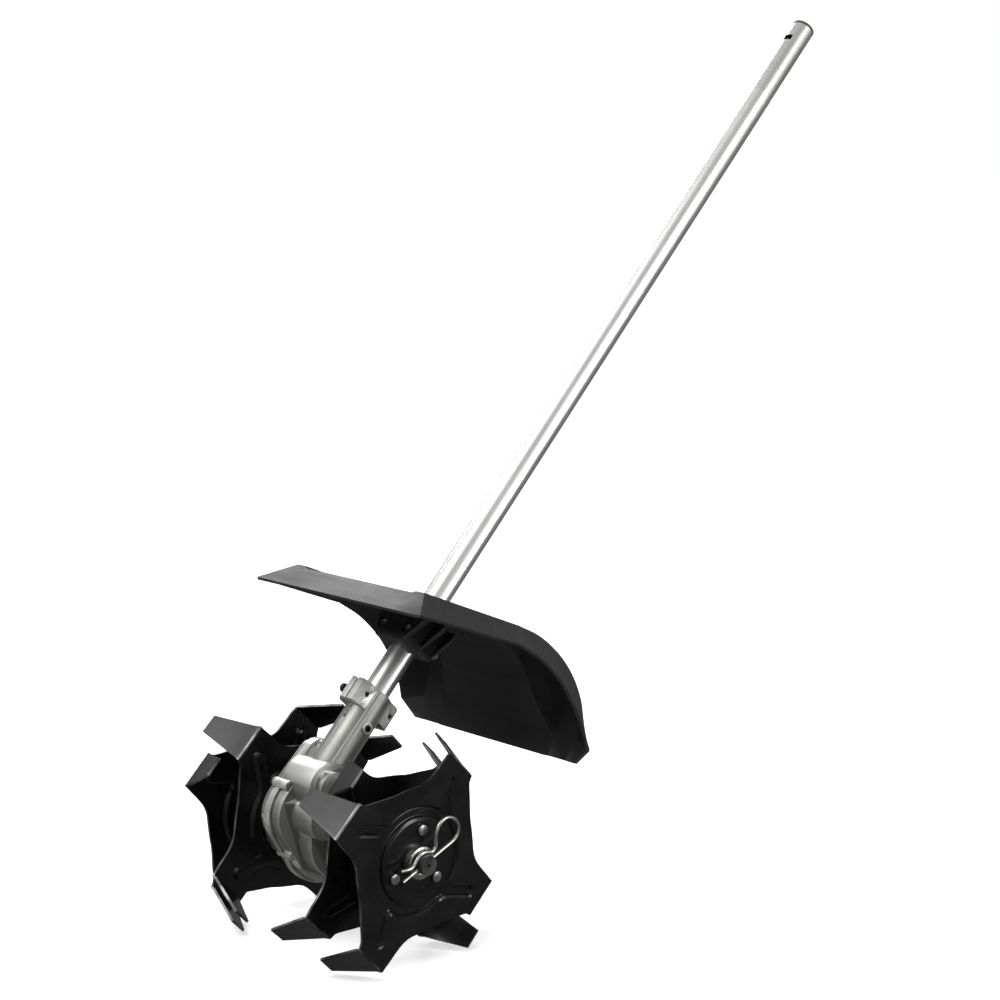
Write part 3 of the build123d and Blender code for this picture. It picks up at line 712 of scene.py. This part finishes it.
def guard_shell():
    rows = guard_rows()
    across, along = len(rows[0]) - 1, len(rows) - 1
    shell = add(bpy.ops.mesh.primitive_grid_add, "guard_shell", x_subdivisions=across,
                y_subdivisions=along, size=2)
    for vertex in shell.data.vertices:
        i = round((vertex.co.y + 1) / 2 * along)
        j = round((vertex.co.x + 1) / 2 * across)
        vertex.co = rows[i][j]
    modify(shell, "BEVEL", width=0.0012, segments=2, limit_method="ANGLE", angle_limit=math.radians(13))
    modify(shell, "SOLIDIFY", thickness=SHEET, offset=-1.0, use_even_offset=False, use_quality_normals=True)
    modify(shell, "BEVEL", width=0.0005, segments=2, limit_method="ANGLE", angle_limit=math.radians(50))
    return shell


def prism_y(name, outline, y0, y1):
    """Outline of (x, z) points drawn out along Y."""
    block = add(bpy.ops.mesh.primitive_circle_add, name, vertices=len(outline), radius=1, fill_type="NGON",
                rotation=(math.pi / 2, 0, 0))
    ordered = sorted(block.data.vertices, key=lambda v: math.atan2(v.co.z, v.co.x) % (2 * math.pi))
    for vertex, (x, z) in zip(ordered, outline):
        vertex.co = (x, y0, z)
    pick(block)
    bpy.ops.object.mode_set(mode="EDIT")
    bpy.ops.mesh.select_all(action="SELECT")
    bpy.ops.mesh.extrude_region_move(TRANSFORM_OT_translate={"value": (0, y1 - y0, 0)})
    bpy.ops.object.mode_set(mode="OBJECT")
    fix_normals(block)
    return block


def cut(piece, tool):
    modify(piece, "BOOLEAN", object=tool, operation="DIFFERENCE", solver="EXACT")
    bpy.data.objects.remove(tool)


# corners in x and z, in the order of their angle round the saddle's middle
FRONT_SADDLE = [(0.035, 0.202), (0.035, 0.214), (-0.035, 0.214), (-0.035, 0.202),
                (-0.018, 0.170), (0.018, 0.170)]
REAR_SADDLE = [(0.033, 0.202), (0.033, 0.209), (-0.033, 0.209), (-0.033, 0.202),
               (-0.018, 0.175), (0.018, 0.175)]
SADDLE_MIDDLE = 0.195
CELL_TOP, CELL_FOOT = 0.2118, 0.1790
SCREW_X, SCREW_R = 0.017, 0.0026
NUT_HALF = 0.0048
BOOM_BORE = 0.01272


def saddle_half(name, outline, y0, y1, pockets):
    """Half of the block that grips the boom; pockets holds the nuts."""
    ordered = sorted(outline, key=lambda c: math.atan2(c[1] - SADDLE_MIDDLE, c[0]) % (2 * math.pi))
    half = prism_y(name, ordered, y0, y1)
    # cells cored out of the sloping sides, between a front and a back rib
    near, far = (y0 + 0.0062, y1 - 0.0022) if pockets else (y0 + 0.0030, y1 - 0.0030)
    for side in (-1, 1):
        cell = cube("cell", (0, near, 0), (1, far, 1))
        for vertex in cell.data.vertices:
            x, y, z = vertex.co
            height = CELL_TOP if z > 0.5 else CELL_FOOT
            vertex.co = (side * (0.040 if x > 0.5 else (0.0245 if z > 0.5 else 0.0195)), y, height)
        fix_normals(cell)
        cut(half, cell)
        if pockets:
            cut(half, cube("pocket", (side * SCREW_X - NUT_HALF, y0 - 0.002, CLAMP_Z - NUT_HALF),
                           (side * SCREW_X + NUT_HALF, y0 + 0.0045, CLAMP_Z + NUT_HALF)))
        cut(half, rod("screw_hole", SCREW_R, (side * SCREW_X, y0 - 0.005, CLAMP_Z),
                      (side * SCREW_X, y1 + 0.005, CLAMP_Z), 32))
    cut(half, rod("boom_bore", BOOM_BORE, (0, 0, 0.15), (0, 0, 0.23)))
    modify(half, "BEVEL", width=0.0006, segments=2, limit_method="ANGLE", angle_limit=math.radians(40))
    return half


shell = guard_shell()
cut(shell, rod("boom_hole", 0.0131, (0, 0, 0.15), (0, 0, 0.26)))
smooth(shell, 14)
saddle = saddle_half("guard_saddle", FRONT_SADDLE, -0.025, -0.0006, True)
smooth(saddle, 30)
guard = join([shell, saddle])
guard.name = "guard_moulding"
dress(guard, FINISHES["black_plastic"])
fit(guard, "boom_and_case", "black_plastic", "guard")
clamp = saddle_half("guard_clamp_half", REAR_SADDLE, 0.0006, 0.019, False)
smooth(clamp, 30)
dress(clamp, FINISHES["black_plastic"])
fit(clamp, "boom_and_case", "black_plastic", "guard_clamp")

# ---- gearcase -----------------------------------------------------------------------------
for node, name in (("gearcase_housing", "case_housing"), ("gearcase_cover", "case_cover")):
    casting = cad_copy(node, name)
    modify(casting, "BEVEL", width=0.0011, segments=3, limit_method="ANGLE", angle_limit=math.radians(28))
    smooth(casting, 32)
    dress(casting, FINISHES["cast_aluminium"])
    fit(casting, "boom_and_case", "cast_aluminium", node)

# ---- axle, hubs, rivets and clips -----------------------------------------------------------
TURNED = [("tine_axle", "shaft_steel", 0.0011, 1),          # node, slot, chamfer width and its steps
          ("tine_hub_right", "zinc_steel", 0.0006, 2),
          ("tine_hub_left", "zinc_steel", 0.0006, 2)]
TURNED += [("tine_rivets_" + place, "zinc_steel", 0.0011, 3)
           for place in ("outer_right", "outer_left", "inner_right", "inner_left")]
for node, slot, width, segments in TURNED:
    piece = cad_copy(node, node + "_turned")
    modify(piece, "BEVEL", width=width, segments=segments, limit_method="ANGLE", angle_limit=math.radians(35))
    smooth(piece, 30)
    dress(piece, FINISHES[slot])
    fit(piece, "tine_assembly", slot, node)


# ---- floor, light and camera ------------------------------------------------------------
def pale_floor():
    """Plain pale paper that glows a little, so it stays white to its far edge."""
    f = Finish("Floor_pale", 0.0)
    f.color(f.ramp(f.noise(3, detail=2), [(0.3, (0.86, 0.86, 0.86)), (0.7, (0.88, 0.88, 0.88))]))
    f.shader.inputs["Roughness"].default_value = 0.7
    f.shader.inputs["Emission Color"].default_value = (1, 1, 1, 1)
    f.shader.inputs["Emission Strength"].default_value = 0.36
    return f.material


floor = add(bpy.ops.mesh.primitive_plane_add, "floor", size=80, location=(0, 0, cad_box[0][2] - 0.001))
dress(floor, pale_floor())
floor.visible_glossy = False

world = bpy.data.worlds.new("Studio")
bpy.context.scene.world = world
world.use_nodes = True
studio = world.node_tree
paper = studio.nodes["Background"]
paper.inputs["Color"].default_value = (1, 1, 1, 1)
paper.inputs["Strength"].default_value = 1.0
room = studio.nodes.new("ShaderNodeBackground")
room.inputs["Color"].default_value = (1, 1, 1, 1)
# the room is pale above and dim below, so flat sides that mirror the ground stay dark
direction = studio.nodes.new("ShaderNodeTexCoord")
height = studio.nodes.new("ShaderNodeSeparateXYZ")
shade = studio.nodes.new("ShaderNodeMapRange")
for socket, value in (("From Min", -0.12), ("From Max", 0.35), ("To Min", 0.14), ("To Max", 0.44)):
    shade.inputs[socket].default_value = value
studio.links.new(direction.outputs["Generated"], height.inputs[0])
studio.links.new(height.outputs["Z"], shade.inputs["Value"])
studio.links.new(shade.outputs["Result"], room.inputs["Strength"])
seen = studio.nodes.new("ShaderNodeLightPath")
choice = studio.nodes.new("ShaderNodeMixShader")
studio.links.new(seen.outputs["Is Camera Ray"], choice.inputs[0])
studio.links.new(room.outputs[0], choice.inputs[1])
studio.links.new(paper.outputs[0], choice.inputs[2])
studio.links.new(choice.outputs[0], studio.nodes["World Output"].inputs["Surface"])


def softbox(name, place, target, width, height, power):
    light = bpy.data.lights.new(name, "AREA")
    light.shape = "RECTANGLE"
    light.size = width
    light.size_y = height
    light.energy = power
    lamp = bpy.data.objects.new(name, light)
    bpy.context.scene.collection.objects.link(lamp)
    lamp.location = place
    lamp.rotation_euler = (Vector(target) - Vector(place)).to_track_quat("-Z", "Y").to_euler()


CAMERA = Vector((1.43990, -1.83979, -0.12914))
RIGHT = Vector((0.6925, 0.7214, -0.0007))
UP = Vector((-0.1197, 0.1159, 0.9861))
BACK = RIGHT.cross(UP).normalized()
UP = BACK.cross(RIGHT).normalized()
MIDDLE = Vector((0, -0.5, -0.6))
softbox("key_light", MIDDLE + BACK * 1.3 - RIGHT * 1.7 + Vector((0, 0, 1.7)), MIDDLE, 0.9, 0.9, 34)
softbox("strip_light", MIDDLE + BACK * 0.7 + RIGHT * 1.9 + Vector((0, 0, 0.5)), MIDDLE, 0.5, 2.2, 26)
softbox("rim_light", MIDDLE - BACK * 1.6 - RIGHT * 0.8 + Vector((0, 0, 1.6)), MIDDLE, 1.0, 0.8, 20)
softbox("top_light", MIDDLE + BACK * 0.5 - RIGHT * 0.9 + Vector((0, 0, 1.9)), MIDDLE, 1.5, 1.5, 13)
sun_data = bpy.data.lights.new("overhead_light", "SUN")
sun_data.energy = 1.6
sun_data.angle = math.radians(50)
sun = bpy.data.objects.new("overhead_light", sun_data)
bpy.context.scene.collection.objects.link(sun)
sun.visible_glossy = False
sun.rotation_euler = (-BACK * 0.5 + RIGHT * 0.3 - Vector((0, 0, 2))).to_track_quat("-Z", "Y").to_euler()

camera_data = bpy.data.cameras.new("camera")
camera_data.sensor_width = 36.0
camera_data.lens = 74.704
camera_data.clip_start = 0.05
camera = bpy.data.objects.new("camera", camera_data)
bpy.context.scene.collection.objects.link(camera)
camera.matrix_world = Matrix((
    (RIGHT.x, UP.x, BACK.x, CAMERA.x),
    (RIGHT.y, UP.y, BACK.y, CAMERA.y),
    (RIGHT.z, UP.z, BACK.z, CAMERA.z),
    (0, 0, 0, 1)))
bpy.context.scene.camera = camera
bpy.context.scene.view_settings.view_transform = "Standard"
